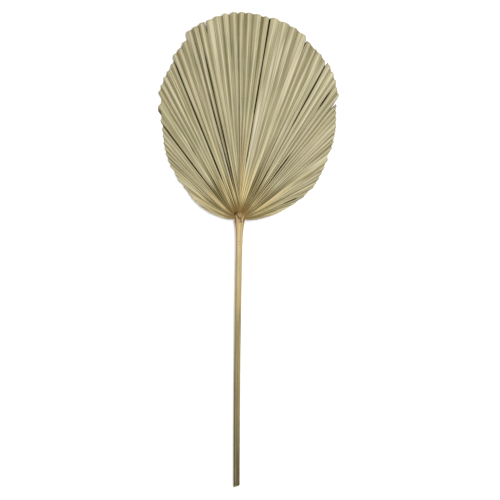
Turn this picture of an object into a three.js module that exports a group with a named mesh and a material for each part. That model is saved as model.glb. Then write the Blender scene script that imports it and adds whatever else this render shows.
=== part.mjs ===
// A dried fan palm leaf: a pleated blade, trimmed to an oval, on a straight cut stalk.
// Millimetres. The leaf lies on a flat surface: +Z is up, +X is to the right seen from above, and +Y
// runs from the stalk's cut end to the blade's tip. Angles fan out from the hub, where the folds meet:
// 0 points at the tip, and negative angles are to the left.

import * as THREE from "three";

// Blade outline: two half ovals that share one upright axis
const BLADE_HEIGHT = 350;
const BLADE_LEFT_HALF = 144;
const BLADE_RIGHT_HALF = 160;
const AXIS_RIGHT_OF_HUB = 6;
const BLADE_BELOW_HUB = 10;

// Folds
const FIRST_FOLD = -112;
const FLANK_ANGLE = 1.75; // true width of one flank of a pleat, in degrees of the fan
const FLATTEST_PLEAT = 0.96; // most of a flank's true width that is seen from above
const STEEPEST_FLANK = 57;
const FLOOR_ANGLE = 0.14; // half the width of the flat floor between two groups of pleats
const SCALLOP = 0.09; // how far a ridge outreaches its valley, as a share of the pleat's width
const PLEAT_JITTER = 0.12;
const ROOT_RISE = 42; // folds near the tip branch off this far above the hub
const ROOT_DROP_LEFT = 21; // and those at the sides leave the stalk this far below it
const ROOT_DROP_RIGHT = 13;
const ROOT_SPREAD = 15;
const MOST_BEND = 0.75; // near the hub a fold keeps at least a quarter of its angle, so that none cross
const MERGE_RADIUS = 36; // closer to the hub than this, the folds run together
const SHEET = 1.2; // thickness, measured straight down
const ROWS = 9;
const ROW_SPACING = 1.4; // rows crowd towards the hub
const ROW_STEP = 0.01; // share of a fold's length over which its direction is taken

// How the blade lies: it sags to the surface at two places beside its middle
const SAG_ANGLE = 40;
const MARGIN_LOW = 2.4;
const MARGIN_HIGH = 9;

// Stalk
const STALK_LENGTH = 461;
const STALK_WIDTH = 10.8;
const STALK_DEPTH = 7.4;
const STALK_SWEEP = 5.6;
const STALK_SIDES = 12;
const CUT_SLANT = 17;
const FOOT_LENGTH = 34;
const HUB_HEIGHT = 8;
const HUB_RADIUS = 12;
const HUB_DEPTH = 8;
const JOINT_GAP = 0.3;

// The pleats in groups, left to right. A group ends at a fold that gapes by a share of a pleat's depth.
// Its margin was trimmed beyond the oval by one length at its first fold and another at its last.
const PLEAT_GROUPS = [
  { end: -80, pleats: 8, trim: [0, -2], gape: 0, notch: 0 },
  { end: -60.5, pleats: 6, trim: [-2, -17], gape: 0.15, notch: 0 },
  { end: -55.2, pleats: 2, trim: [-10, -12], gape: 0, notch: 0 },
  { end: -40.5, pleats: 7, trim: [-7, -11], gape: 0.5, notch: 0 },
  { end: -38.3, pleats: 1, trim: [-6, -8], gape: 0.15, notch: 0 },
  { end: -34, pleats: 2, trim: [1, -4], gape: 0.15, notch: 0 },
  { end: -23.2, pleats: 5, trim: [5, -3], gape: 0.5, notch: 0 },
  { end: -16.8, pleats: 3, trim: [2, 1], gape: 0.5, notch: 0 },
  { end: -12.4, pleats: 2, trim: [11, 8], gape: 0.5, notch: 0 },
  { end: -10.2, pleats: 1, trim: [7, 6], gape: 0.15, notch: 8 },
  { end: 8.7, pleats: 6, trim: [5, 0], gape: 0.5, notch: 0 },
  { end: 20.8, pleats: 4, trim: [2, 5], gape: 0.15, notch: 3 },
  { end: 29.8, pleats: 4, trim: [0, 4], gape: 0.5, notch: 4 },
  { end: 40.5, pleats: 5, trim: [9, 6], gape: 0.5, notch: 8 },
  { end: 54.5, pleats: 8, trim: [-3, -5], gape: 0.15, notch: 0 },
  { end: 70.5, pleats: 7, trim: [-9, 2], gape: 0.15, notch: 0 },
  { end: 75.5, pleats: 2, trim: [-2, 1], gape: 0.15, notch: 0 },
  { end: 112, pleats: 10, trim: [-3, -3], gape: 0, notch: 0 },
];

const { degToRad, lerp, smoothstep, clamp } = THREE.MathUtils;

// A repeatable draw between -1 and 1 for the pleat of a given number
function jitter(number) {
  const wave = Math.sin(number * 12.9898) * 43758.5453;
  return 2 * (wave - Math.floor(wave)) - 1;
}

// Distance from the hub to the oval outline along a fold
function outlineRadius(angle) {
  const halfHeight = BLADE_HEIGHT / 2;
  const middle = halfHeight - BLADE_BELOW_HUB;
  const topAngle = Math.atan2(AXIS_RIGHT_OF_HUB, middle + halfHeight);
  const turn = degToRad(angle);
  const halfWidth = turn < topAngle ? BLADE_LEFT_HALF : BLADE_RIGHT_HALF;
  const across = new THREE.Vector2(Math.sin(turn) / halfWidth, Math.cos(turn) / halfHeight);
  const centre = new THREE.Vector2(AXIS_RIGHT_OF_HUB / halfWidth, middle / halfHeight);
  const along = across.dot(centre);
  const square = across.lengthSq();
  return (along + Math.sqrt(along * along - square * (centre.lengthSq() - 1))) / square;
}

// Angle of a fold at a distance from the hub: nearly radial at the margin, bent towards its root inside
function foldAngle(fold, radius) {
  const turn = degToRad(fold.angle);
  const side = Math.sign(turn);
  const drop = side < 0 ? ROOT_DROP_LEFT : ROOT_DROP_RIGHT;
  const towardsTip = Math.exp(-((fold.angle / ROOT_SPREAD) ** 2));
  const offset = (drop - (drop + ROOT_RISE) * towardsTip) * Math.sin(side * turn);
  const bend = Math.atan(offset / radius) - Math.atan(offset / outlineRadius(fold.angle));
  return turn + side * Math.max(bend, -MOST_BEND * side * turn);
}

// Every fold line of the blade, left to right: a height of 1 is a ridge and -1 is a valley
function makeFolds() {
  const folds = [];
  let start = FIRST_FOLD;
  let before = { gape: 0, notch: 0 };
  let number = 0;
  for (const group of PLEAT_GROUPS) {
    const pleatAngle = (group.end - start) / group.pleats;
    const add = (angle, height, notch) => {
      const share = (angle - start) / (group.end - start);
      const trim = lerp(group.trim[0], group.trim[1], share);
      const scallop = SCALLOP * degToRad(pleatAngle) * outlineRadius(angle) * Math.sign(height);
      const margin = outlineRadius(angle) + trim + scallop - notch;
      folds.push({ angle, height, margin, pleatAngle });
    };
    add(start + FLOOR_ANGLE, -1 - before.gape, before.notch);
    for (let i = 0; i < group.pleats; i++) {
      number += 1;
      if (i > 0) add(start + (i + PLEAT_JITTER * jitter(number)) * pleatAngle, -1, 0);
      add(start + (i + 0.5 + PLEAT_JITTER * jitter(number + 0.5)) * pleatAngle, 1, 0);
    }
    add(group.end - FLOOR_ANGLE, -1 - group.gape, group.notch);
    start = group.end;
    before = group;
  }
  return folds;
}

// Height of the blade's middle surface above the ground, before the folds
function bladeHeight(angle, share) {
  const swing = Math.cos(Math.PI * Math.min(Math.abs(angle) / SAG_ANGLE, 2));
  const marginHeight = lerp(MARGIN_LOW, MARGIN_HIGH, (1 + swing) / 2);
  return lerp(HUB_HEIGHT, marginHeight, smoothstep(share, 0, 1));
}

// Place of a fold seen from above, from the hub (share 0) to the margin (share 1)
function planPoint(fold, share) {
  const radius = lerp(HUB_RADIUS + JOINT_GAP, fold.margin, share);
  const turn = foldAngle(fold, radius);
  return new THREE.Vector3(radius * Math.sin(turn), radius * Math.cos(turn), 0);
}

// Half the depth of the pleats at a fold. A flank has its true width along its slope, so narrow pleats
// are steep, up to the slope that leaves the sheet thick enough.
function halfDepth(folds, column, plan, share) {
  const fold = folds[column];
  const outwards = planPoint(fold, share + ROW_STEP).sub(plan[column]).normalize();
  const beside = [column - 1, column + 1].filter((other) => folds[other]?.height * fold.height < 0);
  const widths = beside.map((other) => plan[other].clone().sub(plan[column]).cross(outwards).length());
  const deepest = Math.max(...[column, ...beside].map((other) => Math.abs(folds[other].height)));
  const seenShare = clamp(fold.pleatAngle / 2 / FLANK_ANGLE, 0, FLATTEST_PLEAT);
  const rise = Math.sqrt(1 - seenShare * seenShare);
  const radius = plan[column].length();
  const free = (degToRad(FLANK_ANGLE) * radius * rise) / 2;
  const steepest = (Math.min(...widths) * Math.tan(degToRad(STEEPEST_FLANK))) / (1 + deepest);
  return smoothstep(radius, HUB_RADIUS, MERGE_RADIUS) * Math.min(free, steepest);
}

// The blade's middle surface: a row of points along every fold
function bladeSurface() {
  const folds = makeFolds();
  const rows = Array.from({ length: ROWS }, (_, row) => {
    const share = (row / (ROWS - 1)) ** ROW_SPACING;
    const plan = folds.map((fold) => planPoint(fold, share));
    return folds.map((fold, column) => {
      const height = bladeHeight(fold.angle, share) + fold.height * halfDepth(folds, column, plan, share);
      return plan[column].clone().setZ(Math.max(height, SHEET / 2));
    });
  });
  return { columns: folds.length, point: (column, row) => rows[row][column] };
}

// A closed solid between two sheets of points with the same rows and columns, split alike
function solidSheet(rows, columns, upperPoint, lowerPoint) {
  const positions = [];
  for (const point of [upperPoint, lowerPoint])
    for (let column = 0; column < columns; column++)
      for (let row = 0; row < rows; row++) positions.push(...point(column, row));
  const upper = (column, row) => column * rows + row;
  const lower = (column, row) => columns * rows + upper(column, row);
  const index = [];
  const quad = (a, b, c, d) => index.push(a, b, c, a, c, d);
  for (let c = 0; c + 1 < columns; c++) {
    for (let r = 0; r + 1 < rows; r++) {
      quad(upper(c, r), upper(c + 1, r), upper(c + 1, r + 1), upper(c, r + 1));
      index.push(lower(c, r), lower(c + 1, r + 1), lower(c + 1, r));
      index.push(lower(c, r), lower(c, r + 1), lower(c + 1, r + 1));
    }
    quad(lower(c, 0), lower(c + 1, 0), upper(c + 1, 0), upper(c, 0));
    quad(upper(c, rows - 1), upper(c + 1, rows - 1), lower(c + 1, rows - 1), lower(c, rows - 1));
  }
  for (let r = 0; r + 1 < rows; r++) {
    quad(lower(0, r), upper(0, r), upper(0, r + 1), lower(0, r + 1));
    const end = columns - 1;
    quad(upper(end, r), lower(end, r), lower(end, r + 1), upper(end, r + 1));
  }
  const geometry = new THREE.BufferGeometry();
  geometry.setAttribute("position", new THREE.Float32BufferAttribute(positions, 3));
  geometry.setIndex(index);
  return geometry;
}

function bladeGeometry() {
  const { columns, point } = bladeSurface();
  const half = new THREE.Vector3(0, 0, SHEET / 2);
  return solidSheet(
    ROWS,
    columns,
    (column, row) => point(column, row).clone().add(half),
    (column, row) => point(column, row).clone().sub(half),
  );
}

// Cross-sections of the stalk from its cut end to the hub: distance below the hub, width and depth
function stalkSections() {
  const foot = STALK_LENGTH - FOOT_LENGTH;
  const plain = [STALK_LENGTH, foot, 330, 240, 150, 90, 60].map((below) => ({
    below,
    width: STALK_WIDTH,
    depth: STALK_DEPTH,
  }));
  const flare = [
    { below: 38, width: 11.6, depth: 7.6 },
    { below: 24, width: 13.2, depth: 8 },
    { below: 15, width: 16.6, depth: 8.6 },
    { below: 11, width: 16, depth: 8.4 },
  ];
  const headSteps = [-0.45, -0.1, 0.25, 0.55, 0.78, 0.93];
  const head = headSteps.map((step) => {
    const share = Math.sqrt(1 - step * step);
    return { below: -HUB_RADIUS * step, width: 2 * HUB_RADIUS * share, depth: HUB_DEPTH * share ** 0.5 };
  });
  return [...plain, ...flare, ...head];
}

// The stalk sweeps a little to the left and down to the surface, where a flat foot carries its end
function stalkGeometry() {
  const sections = stalkSections();
  const flatShare = Math.cos(Math.PI / STALK_SIDES);
  const footHeight = (STALK_DEPTH / 2) * flatShare;
  const slant = Math.tan(degToRad(CUT_SLANT));
  const positions = [];
  sections.forEach(({ below, width, depth }, station) => {
    const sweep = (below / STALK_LENGTH) ** 2 - (2 * below) / STALK_LENGTH;
    const middle = below > 0 ? STALK_SWEEP * sweep : 0;
    const rise = smoothstep(-below, FOOT_LENGTH - STALK_LENGTH, 0);
    const height = lerp(footHeight, HUB_HEIGHT, rise);
    for (let side = 0; side < STALK_SIDES; side++) {
      const turn = ((side + 0.5) / STALK_SIDES) * 2 * Math.PI;
      const x = (width / 2) * Math.cos(turn);
      const cut = station === 0 ? slant * (x + width / 2) : 0;
      positions.push(middle + x, cut - below, height + (depth / 2) * Math.sin(turn));
    }
  });
  const index = [];
  for (let station = 0; station + 1 < sections.length; station++)
    for (let side = 0; side < STALK_SIDES; side++) {
      const next = (side + 1) % STALK_SIDES;
      const [a, b] = [station * STALK_SIDES + side, station * STALK_SIDES + next];
      index.push(a, b + STALK_SIDES, b, a, a + STALK_SIDES, b + STALK_SIDES);
    }
  const lastRing = (sections.length - 1) * STALK_SIDES;
  for (let side = 1; side + 1 < STALK_SIDES; side++) {
    index.push(0, side, side + 1);
    index.push(lastRing, lastRing + side + 1, lastRing + side);
  }
  const geometry = new THREE.BufferGeometry();
  geometry.setAttribute("position", new THREE.Float32BufferAttribute(positions, 3));
  geometry.setIndex(index);
  return geometry;
}

function namedMesh(name, geometry, color, roughness) {
  geometry.computeVertexNormals();
  const material = new THREE.MeshStandardMaterial({ color, roughness, metalness: 0, flatShading: true });
  const mesh = new THREE.Mesh(geometry, material);
  mesh.name = name;
  return mesh;
}

const leaf = new THREE.Group();
leaf.add(namedMesh("blade", bladeGeometry(), "#b3aa86", 0.75));
leaf.add(namedMesh("stalk", stalkGeometry(), "#a8956a", 0.6));

// The origin is the middle of the leaf's outline, on the surface
const outline = new THREE.Box3().setFromObject(leaf);
const middle = outline.getCenter(new THREE.Vector3());
leaf.position.set(-middle.x, -middle.y, -outline.min.z);

export default leaf;
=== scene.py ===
"""A dried fan palm leaf lying on a pale floor, looked at from straight above.

The pleated blade and the cut stalk stand for the frame's two solids and follow their forms. Lengths are in
millimetres until they reach a mesh. Angles fan out from the hub, where the folds meet, in degrees: 0 points
at the leaf's tip, and negative angles are to the left.
"""

import math
from collections import namedtuple

import bpy
import numpy as np
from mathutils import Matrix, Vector


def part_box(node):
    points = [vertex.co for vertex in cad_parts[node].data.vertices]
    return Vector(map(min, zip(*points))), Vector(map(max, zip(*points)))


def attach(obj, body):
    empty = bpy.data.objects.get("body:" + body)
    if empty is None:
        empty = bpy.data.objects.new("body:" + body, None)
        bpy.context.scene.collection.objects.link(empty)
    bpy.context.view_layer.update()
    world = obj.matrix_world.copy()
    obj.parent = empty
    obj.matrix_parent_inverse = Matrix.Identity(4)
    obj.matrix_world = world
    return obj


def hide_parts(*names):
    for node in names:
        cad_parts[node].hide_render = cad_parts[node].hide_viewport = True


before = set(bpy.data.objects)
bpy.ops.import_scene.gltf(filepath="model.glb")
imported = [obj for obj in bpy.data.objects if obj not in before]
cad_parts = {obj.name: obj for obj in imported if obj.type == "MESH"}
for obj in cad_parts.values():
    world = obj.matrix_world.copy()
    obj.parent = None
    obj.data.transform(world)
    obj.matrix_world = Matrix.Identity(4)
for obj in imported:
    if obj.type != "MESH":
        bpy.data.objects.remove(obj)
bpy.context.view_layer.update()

MM = 0.001

# Blade outline: two half ovals that share one upright axis
BLADE_HEIGHT = 350
BLADE_LEFT_HALF = 144
BLADE_RIGHT_HALF = 160
AXIS_RIGHT_OF_HUB = 6
BLADE_BELOW_HUB = 10

# Folds
FIRST_FOLD = -112
FLANK_ANGLE = 1.75
FLATTEST_PLEAT = 0.96
STEEPEST_FLANK = 62
PLEAT_JITTER = 0.12
ROOT_RISE = 42
ROOT_DROP_LEFT = 21
ROOT_DROP_RIGHT = 13
ROOT_SPREAD = 15
MOST_BEND = 0.75
MERGE_RADIUS = 20
FLANK_STEPS = 5
RIDGE_ROUNDING = 0.45
DEPTH_JITTER = 0.35
RIDGE_WANDER = 0.12
FLANK_BULGE = 0.22
ROWS = 42
ROW_SPACING = 1.25

# Margin: rounded scallops at the tip of the leaf, smoother and more ragged down its sides
TIP_SCALLOP = 0.085
SIDE_SCALLOP = 0.01
SCALLOP_ANGLE = 19
SCALLOP_FULLNESS = 2.4
UNEVEN_MARGIN = 0.75
LOBE_WAVE = 1.1
LOBES_PER_TURN = 26
FRAYED_MARGIN = 0.4
WORN_MARGIN = 1.2

# A valley is a narrow floor between two lips, and stands wider and deeper where it is slit open
CLOSED_VALLEY = 0.12
OPEN_SLIT = 1.2
NOTCH_GAPE = 0.9
WIDEST_SLIT = 0.7
CLOSED_LIP_HEIGHT = -0.95
OPEN_LIP_HEIGHT = -0.3
SLIT_EASE = 0.05

# How the blade lies
SAG_ANGLE = 40
MARGIN_LOW = 2.4
MARGIN_HIGH = 9
HUB_HEIGHT = 8
HUB_RISE = 1.6
HUB_RISE_RADIUS = 40
BUNDLE_HEIGHT = 0.9
TIP_CURL = 0.9
TIP_CURL_START = 0.82
INNER_RADIUS = 4
ROOT_RADIUS = 12.3
SHEET = 0.5
SHARP_FOLD = 38
LOWEST_SHEET = 0.35

# Stalk
STALK_LENGTH = 461
STALK_WIDTH = 10.8
STALK_SWEEP = 5.6
STALK_SIDES = 16
THREAD_SIDES = 8
FOOT_LENGTH = 34
FOOT_HEIGHT = 3.64
CUT_SLANT = 17
HEAD_REACH = 11.16
HEAD_HALF_WIDTH = 11.53
STALK_DEPTH = 7.4
COLLAR_DEPTH = 8
CHANNEL_DEPTH = 0.5
CHANNEL_START = 14
SHARP_EDGE = 45
END_REGION = 6

PleatGroup = namedtuple("PleatGroup", "end pleats trim depth gape notch")
PLEAT_GROUPS = [
    PleatGroup(-80, 8, (0, -2), 0.7, 0, 0),
    PleatGroup(-60.5, 6, (-2, -17), 0.7, 0.3, 0),
    PleatGroup(-55.2, 2, (-10, -12), 0.6, 0, 0),
    PleatGroup(-40.5, 7, (-7, -11), 0.6, 1, 0),
    PleatGroup(-38.3, 1, (-6, -8), 0.7, 0.5, 0),
    PleatGroup(-34, 1, (1, -4), 0.3, 0.6, 0),
    PleatGroup(-23.2, 5, (5, -3), 0.6, 1, 0),
    PleatGroup(-16.8, 3, (2, 1), 0.75, 0.3, 0),
    PleatGroup(-12.4, 2, (11, 8), 0.85, 1, 0),
    PleatGroup(-10.2, 1, (7, 6), 0.8, 0.3, 13),
    PleatGroup(8.7, 8, (5, 0), 0.85, 1, 0),
    PleatGroup(20.8, 4, (2, 5), 0.6, 0.3, 5),
    PleatGroup(29.8, 4, (0, 4), 0.65, 0.9, 5),
    PleatGroup(40.5, 5, (9, 6), 0.75, 0.5, 14),
    PleatGroup(54.5, 8, (-3, -5), 0.65, 0.2, 0),
    PleatGroup(59.1, 1, (-6.4, -8.6), 0.3, 0.2, 0),
    PleatGroup(70.5, 5, (-5.8, 2), 0.55, 0.2, 0),
    PleatGroup(75.5, 2, (-2, 1), 0.55, 0.3, 0),
    PleatGroup(112, 10, (-3, -3), 0.65, 0, 0),
]

# Slits torn along valleys: where the valley meets the margin, from where to where the slit runs as
# shares of the way from hub to margin, and how wide it stands
Slit = namedtuple("Slit", "angle start end strength")
SLITS = [
    Slit(-40.5, 0.15, 0.99, 1),
    Slit(-34, 0.52, 0.6, 0.7),
    Slit(-31.8, 0.19, 0.3, 0.8),
    Slit(-23.2, 0.22, 0.98, 1),
    Slit(-14.6, 0.14, 0.66, 0.8),
    Slit(-14.6, 0.66, 0.98, 0.4),
    Slit(-12.4, 0.2, 0.86, 0.8),
    Slit(-12.4, 0.86, 1.1, 0.4),
    Slit(-10.2, 0.96, 1.1, 1),
    Slit(8.7, 0.24, 0.5, 0.75),
    Slit(8.7, 0.48, 1.1, 1),
    Slit(20.8, 0.97, 1.1, 1),
    Slit(29.8, 0.14, 0.32, 0.8),
    Slit(29.8, 0.32, 0.6, 0.35),
    Slit(29.8, 0.58, 1.1, 1),
    Slit(36.2, 0.81, 0.95, 1.1),
    Slit(38.4, 0.13, 0.49, 1.1),
    Slit(40.5, 0.95, 1.1, 1.3),
    Slit(73, 0.64, 0.84, 1.5),
]

# Patches of another colour on the blade, the dull one painted shade: direction and distance from the hub, and how
# far they spread
Patch = namedtuple("Patch", "kind angle angle_spread radius radius_spread")
PATCHES = [
    Patch("sage", -36, 2, 200, 90),
    Patch("sage", 56.5, 1.6, 150, 60),
    Patch("bleached", 10.5, 1.7, 145, 55),
    Patch("dull", 15.5, 4.5, 230, 170),
    Patch("pale", 38, 17, 200, 170),
    Patch("scorched", -38, 0.8, 222, 6),
    Patch("orange", 3, 1.8, 75, 75),
]

stalk_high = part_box("stalk")[1]
HUB = Vector((stalk_high.x / MM - HEAD_HALF_WIDTH, stalk_high.y / MM - HEAD_REACH, 0))


def deselect_all():
    if bpy.context.object and bpy.context.object.mode != "OBJECT":
        bpy.ops.object.mode_set(mode="OBJECT")
    bpy.ops.object.select_all(action="DESELECT")


def jitter(number):
    """A repeatable draw between -1 and 1 for each number."""
    wave = math.sin(number * 12.9898) * 43758.5453
    return 2 * (wave - math.floor(wave)) - 1


def smoothstep(value, low, high):
    share = np.clip((value - low) / (high - low), 0, 1)
    return share * share * (3 - 2 * share)


def mix(start, end, share):
    return start + (end - start) * share


def outline_radius(angle):
    """Distance from the hub to the oval outline along a fold."""
    half_height = BLADE_HEIGHT / 2
    middle = half_height - BLADE_BELOW_HUB
    turn = np.radians(angle)
    top = math.atan2(AXIS_RIGHT_OF_HUB, middle + half_height)
    half_width = np.where(turn < top, BLADE_LEFT_HALF, BLADE_RIGHT_HALF)
    across_x, across_y = np.sin(turn) / half_width, np.cos(turn) / half_height
    centre_x, centre_y = AXIS_RIGHT_OF_HUB / half_width, middle / half_height
    along = across_x * centre_x + across_y * centre_y
    square = across_x**2 + across_y**2
    beyond = centre_x**2 + centre_y**2 - 1
    return (along + np.sqrt(along**2 - square * beyond)) / square


def fold_turn(angle, radius):
    """Direction of a fold at a distance from the hub: radial at the margin, bent towards its root inside."""
    turn = np.radians(angle)
    side = np.sign(turn)
    drop = np.where(side < 0, ROOT_DROP_LEFT, ROOT_DROP_RIGHT)
    towards_tip = np.exp(-((angle / ROOT_SPREAD) ** 2))
    offset = (drop - (drop + ROOT_RISE) * towards_tip) * np.sin(side * turn)
    bend = np.arctan(offset / radius) - np.arctan(offset / outline_radius(angle))
    return turn + side * np.maximum(bend, -MOST_BEND * side * turn)


def blade_height(angle, share):
    """Height of the blade's middle surface above the floor, before the folds."""
    swing = np.cos(np.pi * np.minimum(np.abs(angle) / SAG_ANGLE, 2))
    margin = mix(MARGIN_LOW, MARGIN_HIGH, (1 + swing) / 2)
    return mix(HUB_HEIGHT, margin, smoothstep(share, 0, 1))


def bundle_height(angle):
    """Pleats lie in loose bundles that rise and fall together."""
    return 0.6 * np.sin(np.radians(angle * 29)) + 0.4 * np.sin(np.radians(angle * 13 + 40))


Valley = namedtuple("Valley", "angle left_margin right_margin gape notch")
Ridge = namedtuple("Ridge", "angle margin pleat_angle depth")


def make_folds():
    """The valleys and the ridges between them, left to right."""
    valleys, ridges = [], []
    start, number = FIRST_FOLD, 0
    for group in PLEAT_GROUPS:
        pleat_angle = (group.end - start) / group.pleats

        def margin(angle, height):
            trim = mix(group.trim[0], group.trim[1], (angle - start) / (group.end - start))
            oval = float(outline_radius(angle))
            scallop = mix(SIDE_SCALLOP, TIP_SCALLOP, math.exp(-((angle / SCALLOP_ANGLE) ** 2)))
            return oval + trim - WORN_MARGIN + scallop * math.radians(pleat_angle) * oval * height

        if valleys:
            valleys[-1] = valleys[-1]._replace(right_margin=margin(start, -1))
        else:
            valleys.append(Valley(start, margin(start, -1), margin(start, -1), 0, 0))
        for i in range(group.pleats):
            number += 1
            if i > 0:
                angle = start + (i + PLEAT_JITTER * jitter(number)) * pleat_angle
                valleys.append(Valley(angle, margin(angle, -1), margin(angle, -1), 0.7, 0))
            angle = start + (i + 0.5 + PLEAT_JITTER * jitter(number + 0.5)) * pleat_angle
            depth = group.depth * (1 + DEPTH_JITTER * jitter(number + 0.15))
            ridges.append(Ridge(angle, margin(angle, 1), pleat_angle, depth))
        end_margin = margin(group.end, -1)
        valleys.append(Valley(group.end, end_margin, end_margin, group.gape, group.notch))
        start = group.end
    return valleys, ridges


def slit_openness(valleys, share):
    """How wide each valley stands open along its length."""
    openness = np.zeros((len(valleys), ROWS))
    angles = np.array([valley.angle for valley in valleys])
    for slit in SLITS:
        valley = np.argmin(np.abs(angles - slit.angle))
        opened = smoothstep(share, slit.start - SLIT_EASE, slit.start + SLIT_EASE)
        closed = smoothstep(share, slit.end - SLIT_EASE, slit.end + SLIT_EASE)
        uneven = 0.88 + 0.12 * np.sin(19 * share + slit.angle)
        openness[valley] = np.maximum(openness[valley], slit.strength * uneven * opened * (1 - closed))
    return openness


def fold_depth(ridge, left, right, share):
    """Half the height from valley to ridge: less where the pleats are wide open, or crowded at the hub."""
    radius = mix(INNER_RADIUS, ridge.margin, share)
    half_width = radius * (fold_turn(right.angle, radius) - fold_turn(left.angle, radius)) / 2
    seen = min(ridge.pleat_angle / 2 / FLANK_ANGLE, FLATTEST_PLEAT)
    free = math.radians(FLANK_ANGLE) * radius * math.sqrt(1 - seen**2) / 2
    steepest = half_width * math.tan(math.radians(STEEPEST_FLANK)) / 2
    towards_hub = mix(1, ridge.depth, smoothstep(radius, MERGE_RADIUS, 4 * MERGE_RADIUS))
    return smoothstep(radius, 0, MERGE_RADIUS) * np.minimum(free, steepest) * towards_hub


def blade_columns(pleats):
    """One entry per column of the blade: the pleat or valley it belongs to, its side, its way up the flank."""
    rise = np.linspace(0, 1, FLANK_STEPS + 1)
    columns = []
    for pleat in range(pleats):
        columns += [(pleat, "rising", way) for way in rise]
        columns += [(pleat, "falling", way) for way in rise[-2::-1]]
        columns.append((pleat + 1, "floor", 0))
    return columns[:-1]


BLADE_MAPS = [
    "fold", "slit", "edge", "hub", "tint", "warmth",
    "sage", "bleached", "dull", "pale", "scorched", "orange",
]


def blade_surface():
    """Positions and finish maps of the blade's middle surface, one row per fold column."""
    valleys, ridges = make_folds()
    columns = blade_columns(len(ridges))
    share = np.linspace(0, 1, ROWS) ** ROW_SPACING
    maps = {name: np.zeros((len(columns), ROWS)) for name in BLADE_MAPS}
    points = np.zeros((len(columns), ROWS, 3))
    depths = [fold_depth(*fold, share) for fold in zip(ridges, valleys, valleys[1:])]
    # Slit openness also sets the slit map, which lays painted shade in the valleys and slits.
    slits = slit_openness(valleys, share)

    # The fold map carries a painted highlight onto the ridges and painted shade into the valleys.
    for index, (number, side, way) in enumerate(columns):
        frayed = FRAYED_MARGIN * jitter(index + 0.9)
        if side == "floor":
            valley, openness = valleys[number], slits[number]
            margin = min(valley.left_margin, valley.right_margin) - valley.notch + frayed
            radius = mix(INNER_RADIUS, margin, share)
            angle = np.full(ROWS, float(valley.angle))
            depth = (depths[number - 1] + depths[number]) / 2
            height = -1 - valley.gape * openness
            maps["fold"][index] = -1
            maps["slit"][index] = mix(0.15, 1, openness)
        else:
            ridge = ridges[number]
            rising = side == "rising"
            beneath = number if rising else number + 1
            valley, openness = valleys[beneath], slits[beneath]
            lip_margin = valley.right_margin if rising else valley.left_margin
            uneven = UNEVEN_MARGIN * (jitter(number + 0.6) * way + jitter(valley.angle) * (1 - way))
            lobed = smoothstep(abs(ridge.angle), 65, 95)
            uneven += LOBE_WAVE * math.sin(math.radians(LOBES_PER_TURN * ridge.angle)) * lobed
            rounded = 1 - (1 - way) ** SCALLOP_FULLNESS
            margin = mix(lip_margin, ridge.margin, rounded) + uneven + frayed
            radius = mix(INNER_RADIUS, margin, share)
            lip = mix(CLOSED_VALLEY, OPEN_SLIT, openness)
            if valley.notch:
                lip = lip + NOTCH_GAPE * smoothstep(margin - radius, 1.3 * valley.notch, 0)
            lip = np.minimum(np.degrees(lip / radius), WIDEST_SLIT * ridge.pleat_angle / 2)
            wander = RIDGE_WANDER * ridge.pleat_angle * jitter(ridge.angle + 1)
            wave = np.sin(2 * np.pi * (1.3 * share + jitter(ridge.angle + 2)))
            angle = mix(valley.angle + (lip if rising else -lip), ridge.angle + wander * wave, way)
            beside = min(max(number + (-1 if rising else 1), 0), len(ridges) - 1)
            depth = mix((depths[number] + depths[beside]) / 2, depths[number], way)
            eased = mix(way, math.sin(way * math.pi / 2), RIDGE_ROUNDING)
            flank = 2 * number + (0 if rising else 1)
            bulge = FLANK_BULGE * jitter(flank + 0.3) * math.sin(way * math.pi)
            height = mix(mix(CLOSED_LIP_HEIGHT, OPEN_LIP_HEIGHT, openness), 1, eased) + bulge
            maps["fold"][index] = 2 * eased - 1
            maps["slit"][index] = openness * max(0.75 - way * 4, 0)
            maps["tint"][index] = 0.55 * jitter(number + 0.7) + 0.45 * jitter(flank + 0.1)
            maps["warmth"][index] = 0.5 * jitter(number + 0.35) + 0.5 * jitter(flank + 0.45)
        turn = fold_turn(angle, radius)
        lying_share = np.clip((radius - ROOT_RADIUS) / (margin - ROOT_RADIUS), 0, 1)
        lift = HUB_RISE * (1 - smoothstep(radius, INNER_RADIUS, HUB_RISE_RADIUS))
        lift += BUNDLE_HEIGHT * bundle_height(angle) * smoothstep(radius, ROOT_RADIUS, 60)
        curl = TIP_CURL * jitter(number + 0.2) * smoothstep(share, TIP_CURL_START, 1)
        level = blade_height(angle, lying_share) + lift + curl
        points[index, :, 0] = HUB.x + radius * np.sin(turn)
        points[index, :, 1] = HUB.y + radius * np.cos(turn)
        points[index, :, 2] = np.maximum(level + height * depth, LOWEST_SHEET)
        maps["edge"][index] = margin - radius
        maps["hub"][index] = radius
        for patch in PATCHES:
            aside = (np.degrees(turn) - patch.angle) / patch.angle_spread
            along = (radius - patch.radius) / patch.radius_spread
            maps[patch.kind][index] = np.maximum(maps[patch.kind][index], np.exp(-(aside**2) - along**2))
    return points, maps


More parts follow.
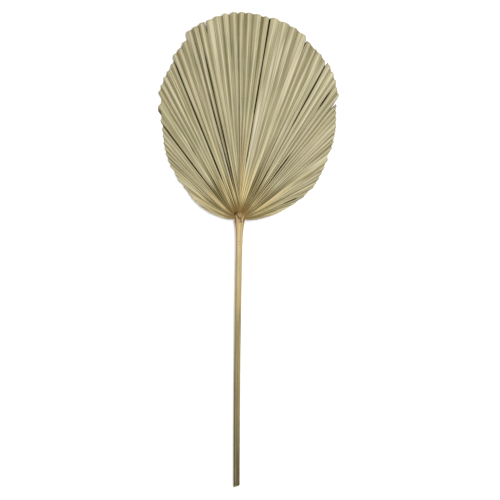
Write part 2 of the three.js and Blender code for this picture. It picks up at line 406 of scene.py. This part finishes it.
def shape_blade():
    """A flat grid, one strip per column, is bent into the fan, its UV map spread out as long as the margin."""
    points, maps = blade_surface()
    columns, rows = points.shape[:2]
    deselect_all()
    bpy.ops.mesh.primitive_grid_add(x_subdivisions=columns - 1, y_subdivisions=rows - 1, size=1)
    blade = bpy.context.object
    blade.name = blade.data.name = "pleated_blade"
    flat = np.zeros(len(blade.data.vertices) * 3)
    blade.data.vertices.foreach_get("co", flat)
    flat = flat.reshape(-1, 3)
    column = np.rint((flat[:, 0] + 0.5) * (columns - 1)).astype(int)
    row = np.rint((flat[:, 1] + 0.5) * (rows - 1)).astype(int)
    blade.data.vertices.foreach_set("co", (points[column, row] * MM).ravel())
    for name, values in maps.items():
        attribute = blade.data.attributes.new(name, "FLOAT", "POINT")
        attribute.data.foreach_set("value", values[column, row].astype(np.float32))
    fan = blade.data.uv_layers.active.data
    across = np.linalg.norm(np.diff(points[:, -1], axis=0), axis=1).sum()
    spread = np.zeros(len(fan) * 2)
    fan.foreach_get("uv", spread)
    spread = spread.reshape(-1, 2) * (across * MM, BLADE_HEIGHT * MM)
    fan.foreach_set("uv", spread.ravel())
    blade.data.update()
    thickness = blade.modifiers.new("sheet", "SOLIDIFY")
    thickness.thickness = SHEET * MM
    thickness.offset = 0
    bpy.ops.object.modifier_apply(modifier=thickness.name)
    bpy.ops.object.shade_smooth_by_angle(angle=math.radians(SHARP_FOLD))
    return blade


Station = namedtuple("Station", "x y z width depth")


def shape_stem(name, stations, sides=STALK_SIDES):
    """A ring is drawn out from station to station, each given by its place from the hub, width and depth."""
    first = stations[0]
    place = (HUB + Vector((first.x, first.y, first.z))) * MM
    deselect_all()
    bpy.ops.mesh.primitive_circle_add(
        vertices=sides, radius=first.width / 2 * MM, fill_type="NGON",
        location=place, rotation=(math.pi / 2, 0, 0),
    )
    stem = bpy.context.object
    stem.name = stem.data.name = name
    bpy.ops.object.transform_apply(location=True, rotation=True, scale=True)
    bpy.ops.object.mode_set(mode="EDIT")
    bpy.ops.mesh.select_all(action="SELECT")
    bpy.ops.transform.resize(value=(1, 1, first.depth / first.width), center_override=place)
    for before, station in zip(stations, stations[1:]):
        step = Vector((station.x - before.x, station.y - before.y, station.z - before.z)) * MM
        place = place + step
        bpy.ops.mesh.extrude_region_move(TRANSFORM_OT_translate={"value": step})
        shrink = (station.width / before.width, 1, station.depth / before.depth)
        bpy.ops.transform.resize(value=shrink, center_override=place)
    bpy.ops.mesh.select_all(action="SELECT")
    bpy.ops.mesh.normals_make_consistent(inside=False)
    bpy.ops.object.mode_set(mode="OBJECT")
    return stem


def round_off(piece, levels):
    smooth = piece.modifiers.new("round", "SUBSURF")
    smooth.levels = smooth.render_levels = levels
    bpy.ops.object.modifier_apply(modifier=smooth.name)
    bpy.ops.object.shade_smooth_by_angle(angle=math.radians(SHARP_EDGE))


def stalk_middle(below):
    share = max(below, 0) / STALK_LENGTH
    return STALK_SWEEP * (share**2 - 2 * share)


def stalk_height(below):
    rise = float(smoothstep(-below, FOOT_LENGTH - STALK_LENGTH, 0))
    return mix(FOOT_HEIGHT, HUB_HEIGHT, rise)


def stalk_stations():
    """Cross-sections from beyond the cut end to the tip of the tongue that lies over the folds' roots."""
    plain = [
        (STALK_LENGTH + 4, 10.8), (455, 10.8), (448, 10.8), (427, 10.8), (380, 10.9), (330, 10.7), (285, 10.9),
        (240, 10.7), (195, 10.9), (150, 10.8), (110, 10.7), (80, 10.9), (60, 10.9), (45, 11.3),
    ]
    flare = [(32, 12.2), (24, 13.4), (18.5, 14.8), (15.5, 16), (12.5, 17.2), (9.5, 17.6)]
    stations = []
    for widths, depth in ((plain, STALK_DEPTH), (flare, COLLAR_DEPTH)):
        for below, width in widths:
            stations.append(Station(stalk_middle(below), -below, stalk_height(below), width, depth))
    stations += [
        Station(-0.2, -6.5, 8.2, 16.4, 8),
        Station(-0.2, -3.4, 8.4, 13.6, 7.4),
        Station(0, -0.4, 8.6, 10.4, 6.4),
        Station(0.3, 2.2, 8.6, 7.2, 5),
        Station(0.5, 4.6, 8.4, 3.2, 3),
    ]
    return stations


def cut_stalk_end(stalk):
    """The stalk's lower end is cut on a slant, and its fresh face sunk a little inside the rim."""
    slant = math.radians(CUT_SLANT)
    left_edge = stalk_middle(STALK_LENGTH) - STALK_WIDTH / 2
    cut_at = (HUB + Vector((left_edge, -STALK_LENGTH, 0))) * MM
    cut_across = Vector((math.sin(slant), -math.cos(slant), 0))
    end_region = cut_at.y + END_REGION * MM
    bpy.ops.object.mode_set(mode="EDIT")
    bpy.ops.mesh.select_all(action="SELECT")
    bpy.ops.mesh.bisect(plane_co=cut_at, plane_no=cut_across, use_fill=True, clear_outer=True)
    bpy.ops.mesh.select_mode(type="FACE")
    bpy.ops.mesh.select_all(action="DESELECT")
    bpy.ops.object.mode_set(mode="OBJECT")
    for face in stalk.data.polygons:
        face.select = abs(face.normal.dot(cut_across)) > 0.99 and face.center.y < end_region
    bpy.ops.object.mode_set(mode="EDIT")
    bpy.ops.mesh.inset(thickness=0.15 * MM, depth=0)
    bpy.ops.mesh.inset(thickness=0.15 * MM, depth=0)
    bpy.ops.mesh.inset(thickness=0.9 * MM, depth=-0.3 * MM)
    bpy.ops.mesh.inset(thickness=0.9 * MM, depth=0)
    bpy.ops.object.mode_set(mode="OBJECT")
    for face in stalk.data.polygons:
        flat_end = abs(face.normal.dot(cut_across)) > 0.9 and face.center.y < end_region
        face.material_index = int(flat_end)


# Pits and grooves torn in the stalk's head, from the hub: where each starts and ends, its radius and depth
Pit = namedtuple("Pit", "start end radius depth")
HEAD_PITS = [
    Pit((0.9, -6.2), (0.9, -6.8), 1.4, 1.6),
    Pit((-4, -2.6), (-0.4, -8), 0.8, 0.7),
    Pit((1.4, -9.4), (2, -13.4), 0.9, 0.4),
    Pit((7.6, -5.8), (7.4, -7.8), 1.5, 1),
    Pit((6.2, -9.4), (5.4, -13), 1, 0.6),
    Pit((-8.4, -9.4), (-8, -13.4), 1.3, 0.7),
    Pit((-8.2, -3.4), (-7, -6.6), 1, 0.6),
]


def distance_to_line(place, start, end):
    """How far a place is, seen from above, from the nearest point of a short line."""
    start, end = Vector(start), Vector(end)
    along = end - start
    share = min(max((place.xy - start).dot(along) / along.length_squared, 0), 1)
    return (place.xy - start - along * share).length


def add_stalk_maps(stalk, stations):
    """Way across and down the stalk for its streaks; a channel and the head's pits are pressed into its top."""
    downs = np.array([-station.y for station in stations])[::-1]
    widths = np.array([station.width for station in stations])[::-1]
    heights = np.array([station.z for station in stations])[::-1]
    # The pit map marks where the head's pits and grooves are given painted shade.
    maps = {"across": [], "down": [], "pit": []}
    for vertex in stalk.data.vertices:
        place = vertex.co / MM - HUB
        below = -place.y
        side = (place.x - stalk_middle(below)) / (np.interp(below, downs, widths) / 2)
        pit = 0
        if place.z > np.interp(below, downs, heights):
            if CHANNEL_START < below < STALK_LENGTH:
                vertex.co.z -= CHANNEL_DEPTH * math.exp(-(((side - 0.15) / 0.35) ** 2)) * MM
            for hollow in HEAD_PITS:
                near = math.exp(-((distance_to_line(place, hollow.start, hollow.end) / hollow.radius) ** 2))
                vertex.co.z -= hollow.depth * near * MM
                pit = max(pit, near)
        maps["across"].append(side)
        maps["down"].append(below / STALK_LENGTH)
        maps["pit"].append(pit)
    for name, values in maps.items():
        attribute = stalk.data.attributes.new(name, "FLOAT", "POINT")
        attribute.data.foreach_set("value", np.array(values, np.float32))


def shape_stalk():
    stations = stalk_stations()
    stalk = shape_stem("cut_stalk", stations)
    cut_stalk_end(stalk)
    round_off(stalk, 2)
    add_stalk_maps(stalk, stations)
    return stalk


def linear(colour):
    """An sRGB hex colour as linear red, green, blue and alpha."""
    parts = [int(colour[i:i + 2], 16) / 255 for i in (1, 3, 5)]
    return [part / 12.92 if part <= 0.04045 else ((part + 0.055) / 1.055) ** 2.4 for part in parts] + [1]


def add_node(tree, kind, settings, inputs):
    """Adds a node with its settings; an input is a value, or the socket that feeds it."""
    node = tree.nodes.new(kind)
    for name, value in settings.items():
        setattr(node, name, value)
    for name, value in inputs.items():
        if isinstance(value, bpy.types.NodeSocket):
            tree.links.new(value, node.inputs[name])
        else:
            node.inputs[name].default_value = value
    return node


def new_finish(name, colour, roughness, ior):
    """A material and its shader, in the one colour that any layers are laid over."""
    material = bpy.data.materials.new(name)
    material.use_nodes = True
    shader = material.node_tree.nodes["Principled BSDF"]
    shader.inputs["Base Color"].default_value = linear(colour)
    shader.inputs["Roughness"].default_value = roughness
    shader.inputs["IOR"].default_value = ior
    return material, shader


Grain = namedtuple("Grain", "coordinates spacing detail")


def surface_patterns(tree, maps, grains):
    """What the colours may follow: the piece's own maps, and grain spaced in millimetres along each axis."""
    places = add_node(tree, "ShaderNodeTexCoord", {}, {}).outputs
    patterns = {}
    for name in maps:
        patterns[name] = add_node(tree, "ShaderNodeAttribute", {"attribute_name": name}, {}).outputs["Fac"]
    for name, grain in grains.items():
        spread = add_node(tree, "ShaderNodeMapping", {}, {
            "Vector": places[grain.coordinates],
            "Scale": [1 / (spacing * MM) for spacing in grain.spacing],
        })
        patterns[name] = add_node(tree, "ShaderNodeTexNoise", {}, {
            "Vector": spread.outputs["Vector"], "Scale": 1, "Detail": grain.detail, "Roughness": 0.55,
        }).outputs["Fac"]
    return patterns


def lay_colours(tree, shader, patterns, layers):
    """Lays each colour over the last. A mask names a pattern, where it starts and is full, and its share."""
    colour = list(shader.inputs["Base Color"].default_value)
    for layer_colour, *masks in layers:
        cover = 1
        for pattern, start, full, share in masks:
            mask = add_node(tree, "ShaderNodeMapRange", {"interpolation_type": "SMOOTHSTEP"}, {
                "Value": patterns[pattern], "From Min": start, "From Max": full, "To Min": 0, "To Max": share,
            })
            cover = add_node(tree, "ShaderNodeMath", {"operation": "MULTIPLY"}, {
                0: cover, 1: mask.outputs["Result"],
            }).outputs[0]
        colour = add_node(tree, "ShaderNodeMix", {"data_type": "RGBA"}, {
            0: cover, 6: colour, 7: linear(layer_colour),
        }).outputs[2]
    tree.links.new(colour, shader.inputs["Base Color"])


# A dry leaf's dusty surface shines far less than a fresh one's
DUSTY_SHEEN = 0.15

# Fine relief of veins and fibres
RELIEF_STRENGTH = 0.7
RELIEF_DEPTH = 0.35


def dry_palm_blade():
    """Air-dried palm leaf: matt and papery, sage to straw, with fine veins; pale ridges and light bundles are
    painted highlight, browner folds, dark bundles and slits painted shade.
    """
    material, shader = new_finish("dry_palm_blade", "#a39a77", 0.67, 1.42)
    tree = material.node_tree
    patterns = surface_patterns(tree, BLADE_MAPS, {
        "veins": Grain("UV", (2.2, 115, 1), 2),
        "streaks": Grain("UV", (5.7, 195, 1), 1),
        "bundles": Grain("UV", (20, 250, 1), 1),
        "wedges": Grain("UV", (42, 300, 1), 1),
        "patches": Grain("Object", (50, 50, 50), 3),
    })
    lay_colours(tree, shader, patterns, [
        # Leaf colour: greyer patches, and no two flanks quite the same
        ("#8f8e6c", ("patches", 0.42, 0.66, 0.6)),
        ("#b3ac91", ("tint", 0, 0.8, 0.7)),
        ("#888161", ("tint", 0, -0.8, 0.7)),
        ("#a49066", ("warmth", 0.1, 0.9, 0.5)),
        ("#93946f", ("sage", 0.1, 0.8, 0.55)),
        # The dull patch is painted shade, darkening one stretch of the blade
        ("#837c5b", ("dull", 0, 0.9, 0.6)),
        ("#bbb499", ("pale", 0, 0.9, 0.3)),
        # Long streaks and veins; towards the hub, broad bundles get a painted highlight and painted shade
        ("#c3bba0", ("streaks", 0.52, 0.7, 0.7)),
        ("#786e46", ("streaks", 0.48, 0.3, 0.6)),
        ("#c4b88b", ("bundles", 0.51, 0.63, 0.65), ("hub", 190, 60, 1)),
        ("#5a5026", ("bundles", 0.5, 0.36, 0.85), ("hub", 190, 60, 1)),
        ("#cdc5aa", ("veins", 0.53, 0.68, 0.66)),
        ("#6e653e", ("veins", 0.47, 0.32, 0.6)),
        ("#c8c1aa", ("bleached", 0.1, 0.9, 0.5)),
        # Pale ridges are a painted highlight and browner valleys are painted shade
        ("#c6bea2", ("fold", 0.7, 1, 0.6)),
        ("#6b5d36", ("fold", -0.6, -1, 0.55)),
        # Brown roots of the folds at the hub, with painted shade in olive between them and painted highlights on
        # the ridges, bundles and wedges near it
        ("#6b501c", ("hub", 78, 16, 0.6)),
        ("#443c16", ("hub", 100, 36, 1), ("bundles", 0.51, 0.42, 0.74)),
        ("#c6b27c", ("hub", 100, 36, 1), ("bundles", 0.53, 0.62, 0.65)),
        ("#4a431b", ("hub", 90, 30, 1), ("wedges", 0.49, 0.38, 0.7)),
        ("#cfbb86", ("hub", 90, 30, 1), ("wedges", 0.52, 0.63, 0.65)),
        ("#4d4219", ("hub", 110, 40, 1), ("fold", 0, -0.9, 0.6)),
        ("#d2c28e", ("hub", 110, 30, 1), ("fold", 0.5, 1, 0.5)),
        ("#684c1f", ("hub", 34, 10, 0.74)),
        ("#8c6a31", ("orange", 0.15, 0.9, 0.75), ("streaks", 0.36, 0.52, 1)),
        # Browned margin, a scorched tip, and painted shade inside the slits
        ("#7d6a3d", ("edge", 2.6, 0, 0.6), ("patches", 0.3, 0.6, 1)),
        ("#3b2c16", ("scorched", 0.1, 0.7, 0.85)),
        ("#2e2508", ("slit", 0, 0.85, 0.98)),
    ])
    relief = add_node(tree, "ShaderNodeMath", {"operation": "ADD"}, {
        0: patterns["veins"], 1: patterns["streaks"],
    })
    pressed = add_node(tree, "ShaderNodeBump", {}, {
        "Strength": RELIEF_STRENGTH, "Distance": RELIEF_DEPTH * MM, "Height": relief.outputs[0],
    })
    tree.links.new(pressed.outputs["Normal"], shader.inputs["Normal"])
    shader.inputs["Specular IOR Level"].default_value = DUSTY_SHEEN
    return material


# Where along the stalk, from its head to the cut, the stripes of each half fade in
UPPER_HALF = ("down", 0.42, 0.22, 1)
LOWER_HALF = ("down", 0.4, 0.65, 1)


def dry_palm_stalk():
    """Air-dried palm stalk: smooth and satin, tan at the blade and olive brown at the cut, with long fibres."""
    material, shader = new_finish("dry_palm_stalk", "#b19867", 0.58, 1.4)
    tree = material.node_tree
    patterns = surface_patterns(tree, ["across", "down", "pit"], {
        "fibres": Grain("Object", (1.3, 70, 1.3), 2),
        "bands": Grain("Object", (3, 150, 3), 1),
        "specks": Grain("Object", (3, 4.5, 3), 1),
    })
    lay_colours(tree, shader, patterns, [
        # Tan to olive brown, from the head down to the cut
        ("#b6a277", ("down", 0.04, 0.09, 1)),
        ("#a9986c", ("down", 0.1, 0.18, 1)),
        ("#9a885a", ("down", 0.19, 0.31, 1)),
        ("#83754d", ("down", 0.31, 0.4, 1)),
        ("#887b50", ("down", 0.41, 0.57, 1)),
        ("#7b6f46", ("down", 0.58, 0.7, 1)),
        ("#5e5330", ("down", 0.71, 0.84, 1)),
        ("#4a411e", ("down", 0.84, 0.95, 1)),
        # Stripes of the upper half, left to right
        ("#836031", ("across", -0.45, -0.95, 0.8), UPPER_HALF),
        ("#af8967", ("across", -0.45, -0.15, 0.5), ("across", 0.15, -0.15, 1), ("bands", 0.4, 0.6, 1), UPPER_HALF),
        ("#c0ac7f", ("across", -0.5, -0.05, 0.6), ("across", 0.4, -0.05, 1), UPPER_HALF),
        ("#9a9460", ("across", 0.05, 0.4, 0.5), ("across", 0.75, 0.4, 1), UPPER_HALF),
        ("#8f6c39", ("across", 0.6, 1, 0.7), UPPER_HALF),
        # Stripes of the lower half, left to right
        ("#413f24", ("across", -0.4, -0.75, 0.75), LOWER_HALF),
        ("#8b784d", ("across", -0.56, -0.34, 0.8), ("across", -0.12, -0.34, 1), LOWER_HALF),
        ("#4f3e20", ("across", -0.25, 0.05, 0.65), ("across", 0.35, 0.05, 1), LOWER_HALF),
        ("#857e54", ("across", 0.75, 1, 0.7), LOWER_HALF),
        # Fibres, dark specks, the stained end, the brown head, and painted shade in its pits
        ("#554825", ("fibres", 0.46, 0.3, 0.45)),
        ("#c4b585", ("fibres", 0.56, 0.74, 0.3)),
        ("#352610", ("specks", 0.7, 0.78, 0.6)),
        ("#332e14", ("down", 0.972, 1, 0.85), ("specks", 0.4, 0.6, 1)),
        ("#7a5826", ("down", 0.045, 0, 0.75)),
        ("#62461c", ("down", 0.05, 0.01, 0.6), ("specks", 0.5, 0.65, 1)),
        ("#2c1c0b", ("pit", 0.2, 0.9, 0.9)),
    ])
    pressed = add_node(tree, "ShaderNodeBump", {}, {
        "Strength": RELIEF_STRENGTH, "Distance": RELIEF_DEPTH * MM, "Height": patterns["fibres"],
    })
    tree.links.new(pressed.outputs["Normal"], shader.inputs["Normal"])
    return material


def torn_tissue_and_shade():
    """Torn dry leaf tissue: dull and nearly black brown, with lighter tatters; on the knob at the stalk's head the
    near-black is partly painted shade of a hollow.
    """
    material, shader = new_finish("torn_tissue_and_shade", "#34240f", 0.85, 1.4)
    tree = material.node_tree
    patterns = surface_patterns(tree, [], {"tatters": Grain("Object", (1.1, 1.1, 1.1), 2)})
    lay_colours(tree, shader, patterns, [("#6f5228", ("tatters", 0.5, 0.7, 0.7))])
    return material


def pale_fibre():
    """Loose palm fibre: dry, straw coloured and a little streaky."""
    material, shader = new_finish("pale_fibre", "#b89e6c", 0.7, 1.45)
    tree = material.node_tree
    patterns = surface_patterns(tree, [], {"streaks": Grain("Object", (1.4, 4, 1.4), 2)})
    lay_colours(tree, shader, patterns, [("#806033", ("streaks", 0.48, 0.66, 0.7))])
    return material


def stalk_pith():
    """Fresh-cut palm pith: pale and dull, dotted with the ends of darker fibres about a millimetre apart."""
    material, shader = new_finish("stalk_pith", "#978150", 0.85, 1.4)
    tree = material.node_tree
    patterns = surface_patterns(tree, [], {"fibre_ends": Grain("Object", (0.9, 0.9, 0.9), 1)})
    lay_colours(tree, shader, patterns, [("#554321", ("fibre_ends", 0.5, 0.62, 0.8))])
    return material


def backdrop_paper():
    """White backdrop paper: matt and even."""
    return new_finish("backdrop_paper", "#ffffff", 0.9, 1.3)[0]


def seat(piece, node, slot, *materials):
    """Gives a finished piece its materials and its place in the frame; the slot is not used."""
    for material in materials:
        piece.data.materials.append(material)
    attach(piece, "root")
    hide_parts(node)


seat(shape_blade(), "blade", "dry_blade", dry_palm_blade())
seat(shape_stalk(), "stalk", "dry_stalk", dry_palm_stalk(), stalk_pith())

# The midrib runs on under the blade from the stalk's head
midrib = shape_stem("midrib", [
    Station(0.4, 4, 6.6, 8, 5),
    Station(0.8, 16, 5.8, 6, 4.2),
    Station(1.6, 34, 5, 4.4, 3.2),
    Station(2.6, 56, 4.4, 2.8, 2.2),
    Station(3.4, 78, 4.2, 1, 0.9),
])
round_off(midrib, 1)
fibre = pale_fibre()
seat(midrib, "stalk", "dry_stalk", fibre)

# Torn tissue and strands where the folds' roots leave the stalk's head; the knob's near-black is partly painted
# shade of a hollow there
knob = shape_stem("hub_knob", [
    Station(-9.2, -1.4, 10.2, 2, 1.6),
    Station(-8.5, 0.4, 10.9, 3.8, 2.4),
    Station(-7.4, 2.4, 11.2, 4.6, 2.6),
    Station(-6.2, 4.2, 10.9, 3.4, 1.8),
    Station(-5.4, 5.4, 10.2, 1.4, 0.8),
], THREAD_SIDES)
round_off(knob, 2)
tissue = torn_tissue_and_shade()
seat(knob, "stalk", "dry_stalk", tissue)
STRANDS = [
    [
        Station(-6.9, -0.8, 10.8, 0.8, 0.6),
        Station(-5.9, -3.6, 11.9, 2.2, 1.5),
        Station(-4.6, -7.6, 12, 2.6, 1.6),
        Station(-4.1, -12, 11.7, 2.2, 1.2),
        Station(-4, -16.4, 11, 0.8, 0.6),
    ],
    [
        Station(-3, 3.6, 11.2, 0.6, 0.4),
        Station(-1.6, -0.6, 12.3, 2, 1.3),
        Station(-0.3, -4.4, 12.3, 0.8, 0.6),
    ],
    [
        Station(6.6, -0.6, 10.4, 0.8, 0.6),
        Station(5.6, -4, 11.7, 2.4, 1.5),
        Station(4.4, -8.8, 11.9, 2.4, 1.6),
        Station(4.2, -13, 11.5, 1.8, 1.2),
        Station(4.2, -16.4, 10.8, 0.8, 0.6),
    ],
]
for index, stations in enumerate(STRANDS):
    strand = shape_stem("hub_strand_%d" % (index + 1), stations[::-1], THREAD_SIDES)
    round_off(strand, 2)
    seat(strand, "stalk", "dry_stalk", fibre)

# A loose vein curls out beside the deepest notch in the right margin
vein = shape_stem("loose_vein", [
    Station(157, 178.4, 4.6, 0.9, 0.6),
    Station(160.2, 181, 5.6, 1.5, 0.9),
    Station(164, 183.4, 6.4, 1.4, 0.8),
    Station(167.6, 185.2, 7, 0.8, 0.5),
], THREAD_SIDES)
round_off(vein, 2)
seat(vein, "blade", "dry_blade", tissue)

# Camera straight above: the view is as wide as the leaf is seen with its white border
VIEW_WIDTH = 845
LENS = 200
SENSOR = 36
FLOOR_SIZE = 8
VIEW_FROM_HUB = Vector((17.1, -59.9, 0))

camera_data = bpy.data.cameras.new("camera")
camera_data.lens = LENS
camera_data.sensor_width = SENSOR
camera = bpy.data.objects.new("camera", camera_data)
bpy.context.scene.collection.objects.link(camera)
view_height = VIEW_WIDTH * LENS / SENSOR + HUB_HEIGHT
camera.location = (HUB + VIEW_FROM_HUB + Vector((0, 0, view_height))) * MM
bpy.context.scene.camera = camera

deselect_all()
bpy.ops.mesh.primitive_plane_add(size=FLOOR_SIZE, location=(0, 0, 0))
floor = bpy.context.object
floor.name = "floor"
floor.data.materials.append(backdrop_paper())


LIGHT_AIM = Vector((0, 0.1, 0))


def add_softbox(name, place, size, power):
    """A square soft light that faces the middle of the leaf."""
    light = bpy.data.lights.new(name, "AREA")
    light.shape = "SQUARE"
    light.size = size
    light.energy = power
    softbox = bpy.data.objects.new(name, light)
    softbox.location = place
    softbox.rotation_euler = (LIGHT_AIM - Vector(place)).to_track_quat("-Z", "Y").to_euler()
    bpy.context.scene.collection.objects.link(softbox)


add_softbox("key_light", (0.98, 0.52, 2.6), 1.2, 48)

world = bpy.data.worlds.new("studio")
world.use_nodes = True
world.node_tree.nodes["Background"].inputs["Color"].default_value = (1, 1, 1, 1)
world.node_tree.nodes["Background"].inputs["Strength"].default_value = 0.85
bpy.context.scene.world = world
bpy.context.scene.view_settings.view_transform = "Standard"
